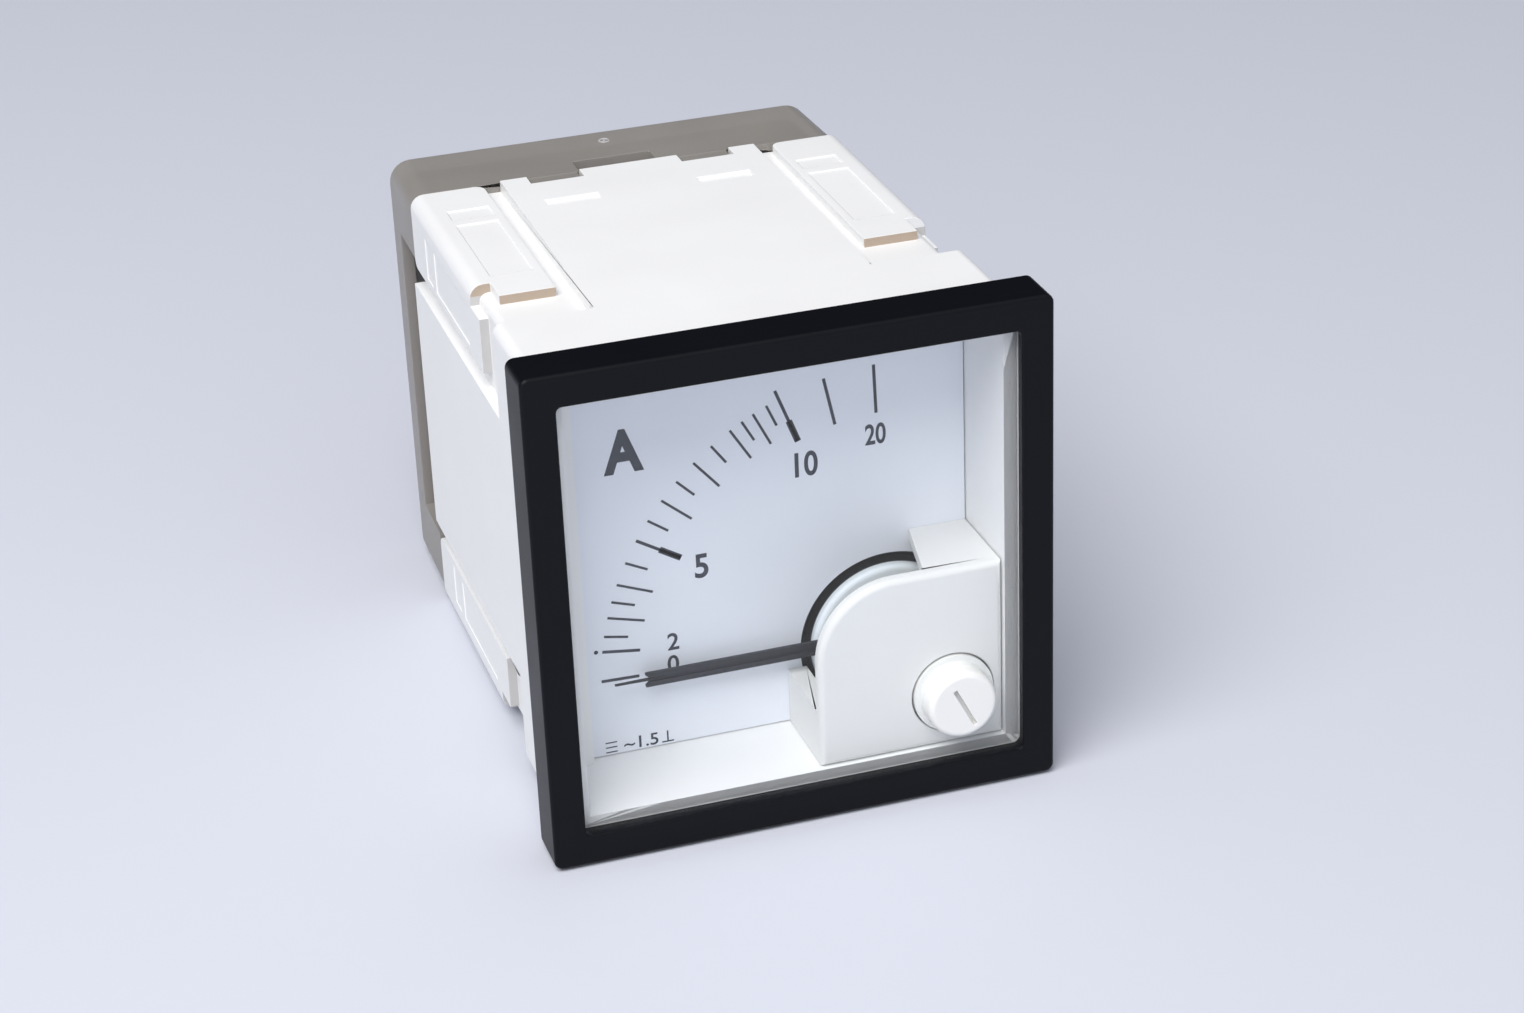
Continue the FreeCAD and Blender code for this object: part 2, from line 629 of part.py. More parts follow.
def case_tongue_cuts():
    """Notches and slots for the cover's tongues, and a shallow mark over each, on the top face."""
    cuts = []
    for side in (-1, 1):
        x0, x1 = sorted((side * TONGUE_INNER, side * TONGUE_OUTER))
        cuts.append(block(x0, x1, 44.5, 50, CASE_INSIDE - 1, 30))
        cuts.append(block(x0, x1, 40, 50, CASE_INSIDE - 1.4, CASE_INSIDE))
        cuts.append(block(x0, x1, LATCH_Y, LATCH_Y + LATCH_LENGTH, CASE_FLANGE - LATCH_DEPTH, 30))
    return cuts


def case_recesses():
    """Shallow moulded recesses on the two pads of the top face."""
    level = CASE_HALF - RECESS
    cuts = []
    for side in (-1, 1):
        x0, x1 = sorted((side * (PAD_INNER + 0.8), side * (PAD_SIDE - 0.4)))
        for y0, y1 in RECESS_SPANS:
            cuts.append(block(x0, x1, y0, y1, level, 30))
    return cuts


def main_case():
    solid = case_outside()
    cuts = [
        rounded_square(FRAME_HALF + 0.02, -2, FRAME_BACK, 0.7),
        rounded_square(CASE_INSIDE, FRAME_BACK - 1, WALL_FRONT, 0.6),
        rounded_square(CASE_INSIDE, WALL_BACK, 60, 0.6),
    ]
    for cut in case_recesses():
        cuts += four_faces(cut)
    for cut in case_tongue_cuts():
        cuts += [cut, turned(cut, 180)]
    for side in (-1, 1):
        cuts.append(rod(side * TERMINAL_X, 0, BOSS_R + 0.05, 30, 50))
        near = side * (TERMINAL_X - TERMINAL_HALF)
        far = near + side
        cuts.append(block(min(near, far) - 0.05, max(near, far) + 0.05, 30, 50, -1.85, 1.85))
    for cut in cuts:
        solid = solid.cut(cut)
    barrier = block(-0.7, 0.7, WALL_FRONT, 54.5, -12, 12)
    for z in (-1, 1):
        shelf = block(-14.5, 14.5, WALL_FRONT, 47.0, min(z * 5.2, z * 6.2), max(z * 5.2, z * 6.2))
        barrier = barrier.fuse(shelf)
    return solid.fuse(barrier).removeSplitter()


def rear_cover():
    """Tapered protective cap with cable entries on both sides and four tongues."""
    back_inside = REAR_BACK - REAR_WALL
    shell = square_loft(REAR_FRONT_HALF, REAR_CORNER, CASE_BACK, REAR_BACK_HALF, REAR_CORNER, REAR_BACK)
    shell = shell.makeFillet(0.6, edges_in_plane(shell, REAR_BACK))
    inside = square_loft(
        REAR_FRONT_HALF - REAR_WALL, REAR_CORNER - 1, CASE_BACK - 0.001,
        REAR_BACK_HALF - REAR_WALL, REAR_CORNER - 1, back_inside,
    )
    solid = shell.cut(inside)
    for side in (-1, 1):
        x0, x1 = sorted((side * 17, side * 25))
        solid = solid.cut(block(x0, x1, 40, ENTRY_BACK, ENTRY_LOW, ENTRY_HIGH))
        solid = solid.cut(rod(side * TERMINAL_X, 0, DRIVER_HOLE_R, 50, 60))
    solid = solid.cut(block(KEY_LEFT, KEY_RIGHT, 40, KEY_BACK, 15, 25))
    for turn in (0, 180):
        for side in (-1, 1):
            x0, x1 = sorted((side * (TONGUE_INNER + 0.2), side * (TONGUE_OUTER - 0.2)))
            tongue = block(x0, x1, LATCH_Y - 0.6, CASE_BACK + 1.5, CASE_INSIDE - 1.1, CASE_INSIDE - 0.2)
            seat = block(x0, x1, 44.7, CASE_BACK, CASE_INSIDE - 0.5, REAR_FRONT_HALF)
            solid = solid.multiFuse([turned(tongue, turn), turned(seat, turn)])
    return solid.removeSplitter()


PARTS = {
    "front_bezel": front_bezel,
    "window": window,
    "dial_frame": dial_frame,
    "dial_plate": dial_plate,
    "movement_cover": movement_cover,
    "zero_adjuster": zero_adjuster,
    "zero_lever": zero_lever,
    "front_bridge": front_bridge,
    "front_jewel": front_jewel,
    "rear_jewel": rear_jewel,
    "rear_jewel_nut": rear_jewel_nut,
    "hairspring": hairspring,
    "pointer": pointer,
    "pointer_hub": pointer_hub,
    "counterweights": counterweights,
    "spindle": spindle,
    "moving_vane": moving_vane,
    "fixed_vane": fixed_vane,
    "damping_vane": damping_vane,
    "damping_chamber": damping_chamber,
    "damping_lid": damping_lid,
    "coil_bobbin": coil_bobbin,
    "coil_winding": coil_winding,
    "coil_leads": coil_leads,
    "movement_frame": movement_frame,
    "movement_screws": movement_screws,
    "pointer_stops": pointer_stops,
    "main_case": main_case,
    "rear_cover": rear_cover,
}

os.makedirs("parts", exist_ok=True)
for name, make in PARTS.items():
    make().exportStep("parts/" + name + ".step")
for side_name, side in (("left", -1), ("right", 1)):
    terminal_plate(side).exportStep("parts/terminal_plate_" + side_name + ".step")
    clamp_washer(side).exportStep("parts/clamp_washer_" + side_name + ".step")
    terminal_screw(side).exportStep("parts/terminal_screw_" + side_name + ".step")
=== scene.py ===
"""Looks of the panel ammeter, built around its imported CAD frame.

New pieces are modelled in millimetres in the part's own frame and scaled to metres when they are done.
The front faces -Y, +X is to the right and +Z is up; the origin is the centre of the bezel's rear face.
"""
import json
import math

import bmesh
import bpy
from mathutils import Matrix, Vector


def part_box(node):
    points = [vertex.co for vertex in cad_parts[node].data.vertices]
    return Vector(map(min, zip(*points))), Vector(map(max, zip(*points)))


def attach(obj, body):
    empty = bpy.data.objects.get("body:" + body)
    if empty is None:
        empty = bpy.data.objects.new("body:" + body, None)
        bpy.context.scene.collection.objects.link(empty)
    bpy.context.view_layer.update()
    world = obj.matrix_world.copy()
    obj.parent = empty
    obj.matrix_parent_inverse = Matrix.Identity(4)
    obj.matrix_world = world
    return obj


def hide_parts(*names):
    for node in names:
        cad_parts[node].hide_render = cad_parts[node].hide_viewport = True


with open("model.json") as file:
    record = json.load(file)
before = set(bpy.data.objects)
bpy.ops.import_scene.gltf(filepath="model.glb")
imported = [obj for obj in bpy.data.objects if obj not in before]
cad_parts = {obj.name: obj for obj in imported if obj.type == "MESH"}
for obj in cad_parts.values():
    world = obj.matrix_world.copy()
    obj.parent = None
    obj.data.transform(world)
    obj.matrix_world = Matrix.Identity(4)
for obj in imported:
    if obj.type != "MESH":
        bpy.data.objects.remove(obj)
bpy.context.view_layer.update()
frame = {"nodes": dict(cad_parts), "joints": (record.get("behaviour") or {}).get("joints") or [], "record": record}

MM = 0.001


# ---------------------------------------------------------------- places taken from the frame

class Span:
    """The box of a CAD node in millimetres, as named sides."""

    def __init__(self, node):
        low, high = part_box(node)
        self.left, self.front, self.bottom = (value / MM for value in low)
        self.right, self.back, self.top = (value / MM for value in high)


def joint_place(name):
    for joint in frame["joints"]:
        if joint["name"] == name:
            return Vector(joint["pos_m"]) / MM


PIVOT = joint_place("pointer_swing")
KNOB = joint_place("zero_adjust_turn")
BEZEL = Span("front_bezel")
WINDOW = Span("window")
DIAL = Span("dial_plate")
CASE = Span("main_case")
REAR = Span("rear_cover")


# ---------------------------------------------------------------- shader helper

def unwrap(value):
    return value.socket if isinstance(value, Tone) else value


class Tone:
    """A shader socket that Python expressions work on; each expression adds its Math node."""

    def __init__(self, tree, socket):
        self.tree = tree
        self.socket = socket

    def node(self, kind, settings=None, inputs=None, out=0):
        """Adds any node: its type, its settings, then the values or links of its sockets."""
        made = self.tree.nodes.new(kind)
        for key, value in (settings or {}).items():
            setattr(made, key, value)
        for key, value in (inputs or {}).items():
            value = unwrap(value)
            if isinstance(value, bpy.types.NodeSocket):
                self.tree.links.new(value, made.inputs[key])
            else:
                made.inputs[key].default_value = value
        return Tone(self.tree, made.outputs[out])

    def math(self, operation, other):
        return self.node("ShaderNodeMath", {"operation": operation}, {0: self, 1: other})

    def __add__(self, other):
        return self.math("ADD", other)

    def __mul__(self, other):
        return self.math("MULTIPLY", other)

    def __sub__(self, other):
        return self.math("SUBTRACT", other)

    def __rsub__(self, other):
        return self.node("ShaderNodeMath", {"operation": "SUBTRACT"}, {0: other, 1: self})

    def __gt__(self, other):
        return self.math("GREATER_THAN", other)

    def __lt__(self, other):
        return self.math("LESS_THAN", other)

    def split(self, axis):
        """One part of a vector."""
        return self.node("ShaderNodeSeparateXYZ", {}, {0: self}, out="XYZ".index(axis))

    __radd__ = __add__
    __rmul__ = __mul__

    def clamp(self):
        return self.node("ShaderNodeClamp", {}, {0: self})

    def blend(self, low, high):
        """A colour from low to high as this value goes from 0 to 1."""
        sockets = {0: self.clamp(), 6: low, 7: high}
        return self.node("ShaderNodeMix", {"data_type": "RGBA"}, sockets, out=2)

    def map_range(self, low, high):
        """From 0 to 1 as this value goes from low to high."""
        return self.node("ShaderNodeMapRange", {}, {0: self, 1: low, 2: high, 3: 0.0, 4: 1.0})

    def between(self, low, high):
        """1 where this value lies between low and high, and 0 elsewhere."""
        return (self > low) * (self < high)


class Finish:
    """A material under way: its Principled shader, and patterns on Object coordinates in millimetres."""

    def __init__(self, name, colour, roughness, **constants):
        self.material = bpy.data.materials.new(name)
        self.material.use_nodes = True
        self.tree = self.material.node_tree
        self.shader = self.tree.nodes["Principled BSDF"]
        self.set("Base Color", colour)
        self.set("Roughness", roughness)
        for key, value in constants.items():
            self.set(key.replace("_", " "), value)
        place = self.tree.nodes.new("ShaderNodeTexCoord")
        self.place = Tone(self.tree, place.outputs["Object"])

    def set(self, socket, value):
        value = unwrap(value)
        target = self.shader.inputs[socket]
        if isinstance(value, bpy.types.NodeSocket):
            self.tree.links.new(value, target)
        elif isinstance(value, (tuple, list)) and len(value) == 3:
            target.default_value = (*value, 1.0)
        else:
            target.default_value = value

    def scaled(self, per_mm=1.0):
        """Object coordinates with this many units to a millimetre."""
        factors = (per_mm / MM,) * 3
        return self.place.node("ShaderNodeMapping", {}, {"Vector": self.place, "Scale": factors})

    def noise(self, per_mm, detail):
        """Noise from 0 to 1 with this many cells to a millimetre."""
        sockets = {"Vector": self.scaled(per_mm), "Scale": 1.0, "Detail": detail, "Roughness": 0.5}
        return self.place.node("ShaderNodeTexNoise", {}, sockets)

    def bump(self, height, depth_mm):
        sockets = {"Strength": 1.0, "Distance": depth_mm * MM, "Height": height}
        self.set("Normal", self.place.node("ShaderNodeBump", {}, sockets))

    def base(self):
        """What feeds the base colour so far."""
        return Tone(self.tree, self.shader.inputs["Base Color"].links[0].from_socket)

    def tint(self, amount, colour):
        """Mixes a colour over the base colour where amount is 1."""
        sockets = {0: amount, 6: self.base(), 7: (*colour, 1)}
        self.set("Base Color", self.place.node("ShaderNodeMix", {"data_type": "RGBA"}, sockets, out=2))


DRIFT_PER_MM = 0.09
GRAIN_PER_MM = 7.0


def moulded_plastic(name, dark, light, roughness, grain, **constants):
    """Moulded plastic: slow colour drift, uneven gloss and a fine spark-eroded grain."""
    finish = Finish(name, light, roughness, **constants)
    drift = finish.noise(DRIFT_PER_MM, 3.0)
    fine = finish.noise(GRAIN_PER_MM, 2.0)
    finish.set("Base Color", (drift * 0.8 + fine * 0.2).blend((*dark, 1), (*light, 1)))
    finish.set("Roughness", (drift * 0.1 + fine * 0.1 + (roughness - 0.1)).clamp())
    finish.bump(fine, grain)
    return finish


# ---------------------------------------------------------------- materials

PAD_END = (18.2, 19.0)
CORNER_STEP = (21.5, 22.2)
PAD_TOP = 20.9
# Painted shade: a warm brown for the top pads' front ends, a dim grey for the other front ends.
PAINTED_WARM_SHADE = (0.44, 0.35, 0.27)
PAINTED_DIM_SHADE = (0.52, 0.51, 0.50)
# Painted shade of the gap round the drum, put on the drum's side.
PAINTED_GAP_SHADE = (0.012, 0.012, 0.014)
PANE_TINT = (0.99, 0.996, 1.0, 1)
PANE_GLOSS = 0.018
SMOKE_ALPHA = 0.82


def white_case_plastic():
    """White plastic, with painted shade on the pads' front ends: a dim grey on the lower ones and a warm brown on
    the top ones.
    """
    finish = moulded_plastic("white_case", (0.80, 0.80, 0.79), (0.86, 0.865, 0.87), 0.42, 0.0015)
    place = finish.scaled()
    across = place.split("X")
    depth = place.split("Y")
    height = place.split("Z")
    facing = finish.place.node("ShaderNodeNewGeometry", out=1)
    forward = (-1.0 * facing.split("Y")).map_range(0.35, 0.9)
    top = height > PAD_TOP
    pad_ends = depth.between(*PAD_END) * top
    left_corner = depth.between(*CORNER_STEP) * top * (across < 0.0)
    # Painted shade: dim grey on the forward-facing ends below the pads' tops.
    finish.tint(depth.between(PAD_END[0], CORNER_STEP[1]) * (height < PAD_TOP) * forward, PAINTED_DIM_SHADE)
    # Painted shade: warm brown on the top pads' front ends and the left corner step.
    finish.tint((pad_ends + left_corner) * forward, PAINTED_WARM_SHADE)
    return finish


def black_bezel_plastic():
    dark = (0.002, 0.0025, 0.004)
    light = (0.0035, 0.004, 0.0065)
    return moulded_plastic("black_bezel", dark, light, 0.40, 0.002, Specular_IOR_Level=0.15)


def plain(name, colour, roughness, **constants):
    """One even colour, with the least drift and grain."""
    return moulded_plastic(name, tuple(c * 0.92 for c in colour), colour, roughness, 0.0008, **constants)


def clear_pane():
    """Clear plastic: almost all of it lets light straight through, and a little shines."""
    finish = Finish("clear_pane", (1, 1, 1), 0.06)
    see_through = finish.place.node("ShaderNodeBsdfTransparent", {}, {"Color": PANE_TINT})
    shine = finish.shader.outputs[0]
    mixed = finish.place.node("ShaderNodeMixShader", {}, {0: PANE_GLOSS, 1: see_through, 2: shine})
    finish.tree.links.new(mixed.socket, finish.tree.nodes["Material Output"].inputs["Surface"])
    return finish


def smoke_plastic():
    finish = moulded_plastic("smoke_cover", (0.27, 0.25, 0.23), (0.34, 0.32, 0.295), 0.34, 0.002)
    finish.set("Alpha", SMOKE_ALPHA)
    return finish


def drum_plastic():
    """Pale drum whose side behind its rounded rim is painted near-black as the shade in the gap round it."""
    finish = moulded_plastic("drum_white", (0.84, 0.90, 0.93), (0.88, 0.94, 0.97), 0.4, 0.001)
    # Painted shade of the gap between the dial's hole and the drum, behind the rim.
    finish.tint(finish.scaled().split("Y").map_range(6.75, 6.9), PAINTED_GAP_SHADE)
    return finish


FINISHES = {
    "white_plastic": white_case_plastic(),
    "black_plastic": black_bezel_plastic(),
    "clear_window": clear_pane(),
    "cover_white": plain("cover_white", (0.80, 0.80, 0.785), 0.45),
    "knob_white": plain("knob_white", (0.86, 0.86, 0.84), 0.4),
    "drum_white": drum_plastic(),
    "dial_white": plain("dial_white", (0.82, 0.85, 0.91), 0.6),
    "pointer_grey": plain("pointer_grey", (0.022, 0.024, 0.033), 0.5),
    "smoke_plastic": smoke_plastic(),
    "brass": plain("brass", (0.72, 0.53, 0.22), 0.3, Metallic=1.0),
    "spring_bronze": plain("spring_bronze", (0.6, 0.4, 0.2), 0.3, Metallic=1.0),
    "tinned_brass": plain("tinned_brass", (0.72, 0.69, 0.6), 0.35, Metallic=1.0),
    "steel": plain("steel", (0.6, 0.61, 0.63), 0.2, Metallic=1.0),
    "zinc_steel": plain("zinc_steel", (0.6, 0.61, 0.6), 0.35, Metallic=1.0),
    "soft_iron": plain("soft_iron", (0.3, 0.3, 0.31), 0.5, Metallic=1.0),
    "aluminium": plain("aluminium", (0.75, 0.75, 0.76), 0.35, Metallic=1.0),
    "copper_wire": plain("copper_wire", (0.6, 0.25, 0.1), 0.35, Metallic=1.0),
}


SMOKE_LIGHT = plain("smoke_light", (0.50, 0.49, 0.50), 0.35)
SCALE_INK = plain("scale_ink", (0.035, 0.042, 0.06), 0.55)
# Blackened steel for the movement frame, near-black so that it also stands as painted shade in the gap round the
# drum.
BLACKENED_STEEL_GAP_SHADE = plain("blackened_steel_gap_shade", (0.012, 0.012, 0.014), 0.5)


def dress_cad_nodes():
    """Gives every CAD node the finish of its slot; only the movement frame is blackened, near-black also as
    painted shade in the gap round the drum.
    """
    slots = {part["node"]: part["material_slot"] for part in frame["record"]["subparts"]}
    for name, node in frame["nodes"].items():
        material = FINISHES[slots[name]].material
        for slot in node.material_slots:
            slot.material = BLACKENED_STEEL_GAP_SHADE.material if name == "movement_frame" else material


# ---------------------------------------------------------------- modelling helpers, all in millimetres

NEAR = 1e-4
PAST = 1.0
SMOOTH_TURN = math.radians(32)


def use(*pieces):
    bpy.ops.object.select_all(action="DESELECT")
    for piece in pieces:
        piece.select_set(True)
    bpy.context.view_layer.objects.active = pieces[0]


def settle():
    """Puts the active piece's place, turn and size into its mesh."""
    bpy.ops.object.transform_apply(location=True, rotation=True, scale=True)
    return bpy.context.object


def brick(x0, x1, y0, y1, z0, z1):
    bpy.ops.object.select_all(action="DESELECT")
    middle = ((x0 + x1) / 2, (y0 + y1) / 2, (z0 + z1) / 2)
    bpy.ops.mesh.primitive_cube_add(size=1, location=middle, scale=(x1 - x0, y1 - y0, z1 - z0))
    return settle()


def square(half, y0, y1):
    return brick(-half, half, y0, y1, -half, half)


def disc(x, z, radius, y0, y1, sides=72):
    bpy.ops.object.select_all(action="DESELECT")
    bpy.ops.mesh.primitive_cylinder_add(
        vertices=sides, radius=radius, depth=y1 - y0,
        location=(x, (y0 + y1) / 2, z), rotation=(math.pi / 2, 0, 0))
    return settle()


def pick(piece, test, kind="EDGE"):
    """Opens the piece in edit mode with the faces or edges selected that pass the test."""
    use(piece)
    bpy.ops.object.mode_set(mode="EDIT")
    bpy.ops.mesh.select_mode(type=kind)
    bpy.ops.mesh.select_all(action="DESELECT")
    mesh = bmesh.from_edit_mesh(piece.data)
    for item in (mesh.edges if kind == "EDGE" else mesh.faces):
        item.select_set(test(item))
    bmesh.update_edit_mesh(piece.data)


def close():
    bpy.ops.object.mode_set(mode="OBJECT")


def ends(edge):
    return [vertex.co for vertex in edge.verts]


def along_y(edge):
    a, b = ends(edge)
    return abs(a.x - b.x) < NEAR and abs(a.z - b.z) < NEAR


def in_plane(edge, y):
    return all(abs(end.y - y) < NEAR for end in ends(edge))


def round_edges(piece, test, width, steps=3):
    pick(piece, test)
    bpy.ops.mesh.bevel(offset=width, segments=steps, affect="EDGES", loop_slide=False)
    close()
    return piece


def combine(piece, others, operation):
    for other in others:
        use(piece)
        change = piece.modifiers.new("shape", "BOOLEAN")
        change.operation = operation
        change.solver = "EXACT"
        change.object = other
        bpy.ops.object.modifier_apply(modifier=change.name)
        bpy.data.objects.remove(other)
    return piece


def cut(piece, *others):
    return combine(piece, others, "DIFFERENCE")


def weld(piece, *others):
    return combine(piece, others, "UNION")


def soften(piece, width, steps=2, degrees=35):
    """Joins flat neighbours, then gives every edge sharper than the given turn a small radius."""
    use(piece)
    bpy.ops.object.mode_set(mode="EDIT")
    bpy.ops.mesh.select_all(action="SELECT")
    bpy.ops.mesh.remove_doubles(threshold=0.002)
    bpy.ops.mesh.dissolve_limited(angle_limit=math.radians(0.4))
    close()
    change = piece.modifiers.new("edges", "BEVEL")
    change.width = width
    change.segments = steps
    change.limit_method = "ANGLE"
    change.angle_limit = math.radians(degrees)
    change.use_clamp_overlap = False
    change.loop_slide = False
    bpy.ops.object.modifier_apply(modifier=change.name)
    return piece


def divide(piece, across, up):
    """Divides the flat faces along planes, so that a face round an opening is made of plain ones."""
    use(piece)
    bpy.ops.object.mode_set(mode="EDIT")
    planes = [((x, 0, 0), (1, 0, 0)) for x in across] + [((0, 0, z), (0, 0, 1)) for z in up]
    for place, normal in planes:
        bpy.ops.mesh.select_all(action="SELECT")
        bpy.ops.mesh.bisect(plane_co=place, plane_no=normal)
    close()
    return piece


def turned(piece, degrees, x=0.0, z=0.0):
    """Turns the piece about a Y axis through (x, z); left goes towards up."""
    use(piece)
    centre = Matrix.Translation((x, 0, z))
    piece.matrix_world = centre @ Matrix.Rotation(math.radians(degrees), 4, "Y") @ centre.inverted()
    return settle()


def twin(piece):
    """A copy with its own mesh."""
    use(piece)
    bpy.ops.object.duplicate(linked=False)
    return bpy.context.object


def four_faces(piece):
    """The piece, made for the top face, and its copies on the other three faces."""
    return [piece] + [turned(twin(piece), 90 * quarter) for quarter in (1, 2, 3)]


def done(piece, name, body, slot, *nodes, finish=None):
    """Cleans the mesh, brings it to metres, gives it its finish and its body, and hides the CAD nodes it stands in
    for.
    """
    use(piece)
    piece.name = name
    piece.data.name = name
    bpy.ops.object.mode_set(mode="EDIT")
    bpy.ops.mesh.select_all(action="SELECT")
    bpy.ops.mesh.remove_doubles(threshold=0.0005)
    bpy.ops.mesh.normals_make_consistent(inside=False)
    close()
    bpy.ops.object.shade_smooth_by_angle(angle=SMOOTH_TURN)
    weigh = piece.modifiers.new("normals", "WEIGHTED_NORMAL")
    weigh.keep_sharp = True
    bpy.ops.object.modifier_apply(modifier=weigh.name)
    piece.scale = (MM, MM, MM)
    settle()
    piece.data.materials.clear()
    piece.data.materials.append((finish or FINISHES[slot]).material)
    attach(piece, body)
    if nodes:
        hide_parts(*nodes)
    return piece


# ---------------------------------------------------------------- front

OPENING = 20.95
POCKET = 21.5
REBATE_HALF = 22.3
REBATE_DEPTH = 0.6
LIP_BACK = -4.1
BEZEL_CORNER = 0.8
BEZEL_RIM = 0.35
OPENING_CORNER = 0.5
OPENING_RIM = 0.22


def reach(edge):
    """How far each end of the edge is from the middle, as a square sees it."""
    return [max(abs(end.x), abs(end.z)) for end in ends(edge)]


def radii(edge, centre):
    return [math.hypot(end.x - centre.x, end.z - centre.z) for end in ends(edge)]


def make_bezel():
    ring = square(BEZEL.right, BEZEL.front, BEZEL.back)
    round_edges(ring, along_y, BEZEL_CORNER, 5)
    round_edges(ring, lambda e: in_plane(e, BEZEL.front), BEZEL_RIM, 4)
    opening = square(OPENING, BEZEL.front - PAST, LIP_BACK + 0.5)
    round_edges(opening, along_y, OPENING_CORNER, 4)
    cut(ring, opening, square(POCKET, LIP_BACK, PAST), square(REBATE_HALF, BEZEL.back - REBATE_DEPTH, PAST))
    round_edges(ring, lambda e: in_plane(e, BEZEL.front) and max(reach(e)) < POCKET, OPENING_RIM, 3)
    soften(ring, 0.06, 2)
    return done(ring, "bezel_ring", "case", "black_plastic", "front_bezel")


COLLAR_R = 3.95
PANE_HOLE_R = 3.65
ROUND_SIDES = 96


def make_window():
    """Flat pane behind the bezel's lip, with a low collar round the knob."""
    pane = square(WINDOW.right, LIP_BACK, WINDOW.back)
    weld(pane, disc(KNOB.x, KNOB.z, COLLAR_R, WINDOW.front, WINDOW.back - 0.2, ROUND_SIDES))
    cut(pane, disc(KNOB.x, KNOB.z, PANE_HOLE_R, WINDOW.front - PAST, WINDOW.back + PAST, ROUND_SIDES))
    soften(pane, 0.1, 3)
    return done(pane, "window_pane", "case", "clear_window", "window")


COVER_SKIN = 1.2
COVER_LEFT = 2.1
COVER_TOP = -2.4
COVER_CORNER = 7.5
COVER_RIM = 0.6
COVER_HOLE_R = 4.0
COVER_HOLE_RIM = 0.18
COVER_RIGHT_WALL = 1.1
COVER_FLOOR = 0.6
COVER_SIDE_TOP = -14.75
COVER_GAP_R = 8.3
COVER_OVERLAP = 0.3
ROOF_FRONT_LEFT = 12.6
ROOF_BACK_LEFT = 14.3
DRUM_RECESS_R = 7.95
DRUM_RECESS_FRONT = 5.65


def cover_skin(block, back):
    """The cover's front plate, with its round corner and the hole that the knob's flange turns in."""
    skin = brick(COVER_LEFT, block.right, block.front, back, block.bottom, COVER_TOP)
    round_edges(skin, at_upper_left, COVER_CORNER, 22)
    round_edges(skin, lambda e: in_plane(e, block.front), COVER_RIM, 5)
    cut(skin, disc(KNOB.x, KNOB.z, COVER_HOLE_R, block.front - PAST, back + PAST))
    at_hole = lambda e: in_plane(e, block.front) and max(radii(e, KNOB)) < COVER_HOLE_R + 0.5
    return round_edges(skin, at_hole, COVER_HOLE_RIM, 3)


def at_upper_left(edge):
    return along_y(edge) and ends(edge)[0].x < COVER_LEFT + 1 and ends(edge)[0].z > COVER_TOP - 1


def cover_roof(block, start):
    """Wall on top of the cover; its left end slants away from the pointer's sweep."""
    roof = brick(ROOF_FRONT_LEFT, block.right, start, block.back, COVER_TOP - COVER_SKIN, COVER_TOP)
    for vertex in roof.data.vertices:
        if vertex.co.x < ROOF_BACK_LEFT and vertex.co.y > 0:
            vertex.co.x = ROOF_BACK_LEFT
    roof.data.update()
    return roof


def make_cover():
    """Block over the movement: a skin with one large round corner, and walls behind it."""
    block = Span("movement_cover")
    back = block.front + COVER_SKIN
    start = back - COVER_OVERLAP
    skin = cover_skin(block, back)
    right = brick(block.right - COVER_RIGHT_WALL, block.right, start, block.back, block.bottom, COVER_TOP)
    floor = brick(COVER_LEFT, block.right, start, block.back, block.bottom, block.bottom + COVER_FLOOR)
    side = brick(COVER_LEFT, PIVOT.x - 3, start, block.back, block.bottom, COVER_SIDE_TOP)
    cut(side, disc(PIVOT.x, PIVOT.z, COVER_GAP_R, back - PAST, block.back + PAST))
    weld(skin, right, floor, side, cover_roof(block, start))
    cut(skin, disc(PIVOT.x, PIVOT.z, DRUM_RECESS_R, DRUM_RECESS_FRONT, block.back + PAST))
    soften(skin, 0.1, 2, 40)
    divide(skin, (4.2, 11.0), (-14.0, -6.0))
    return done(skin, "movement_block", "case", "cover_white", "movement_cover")


HEAD_R = 3.3
HEAD_RIM = 0.55
HEAD_BACK = -2.8
KNOB_SLOT = (-1.9, 2.5)
KNOB_SLOT_WIDTH = 0.4
KNOB_SLOT_DEPTH = 0.7
KNOB_SLOT_TURN = 63
FLANGE_R = 3.85
FLANGE_BACK = -2.0
FLANGE_RIM = 0.15
HUB_R = 2.4
HUB_BACK = 0.15
PIN_OFFSET = 0.6
PIN_R = 0.4


def make_knob():
    """Slotted head with a rounded rim, its flange behind the window and its hub with the pin."""
    box = Span("zero_adjuster")
    head = disc(KNOB.x, KNOB.z, HEAD_R, box.front, HEAD_BACK, ROUND_SIDES)
    round_edges(head, lambda e: in_plane(e, box.front), HEAD_RIM, 6)
    x0, x1 = (KNOB.x + end for end in KNOB_SLOT)
    half = KNOB_SLOT_WIDTH / 2
    slot = brick(x0, x1, box.front - PAST, box.front + KNOB_SLOT_DEPTH, KNOB.z - half, KNOB.z + half)
    cut(head, turned(slot, KNOB_SLOT_TURN, KNOB.x, KNOB.z))
    flange = disc(KNOB.x, KNOB.z, FLANGE_R, HEAD_BACK, FLANGE_BACK, ROUND_SIDES)
    round_edges(flange, lambda e: in_plane(e, FLANGE_BACK), FLANGE_RIM, 2)
    hub = disc(KNOB.x, KNOB.z, HUB_R, FLANGE_BACK - 0.05, HUB_BACK)
    offset = Vector((KNOB.x - PIVOT.x, KNOB.z - PIVOT.z)).normalized() * PIN_OFFSET
    pin = disc(KNOB.x + offset.x, KNOB.z + offset.y, PIN_R, HUB_BACK - 0.1, box.back, 32)
    weld(head, flange, hub, pin)
    return done(head, "zero_knob", "adjuster", "knob_white", "zero_adjuster")


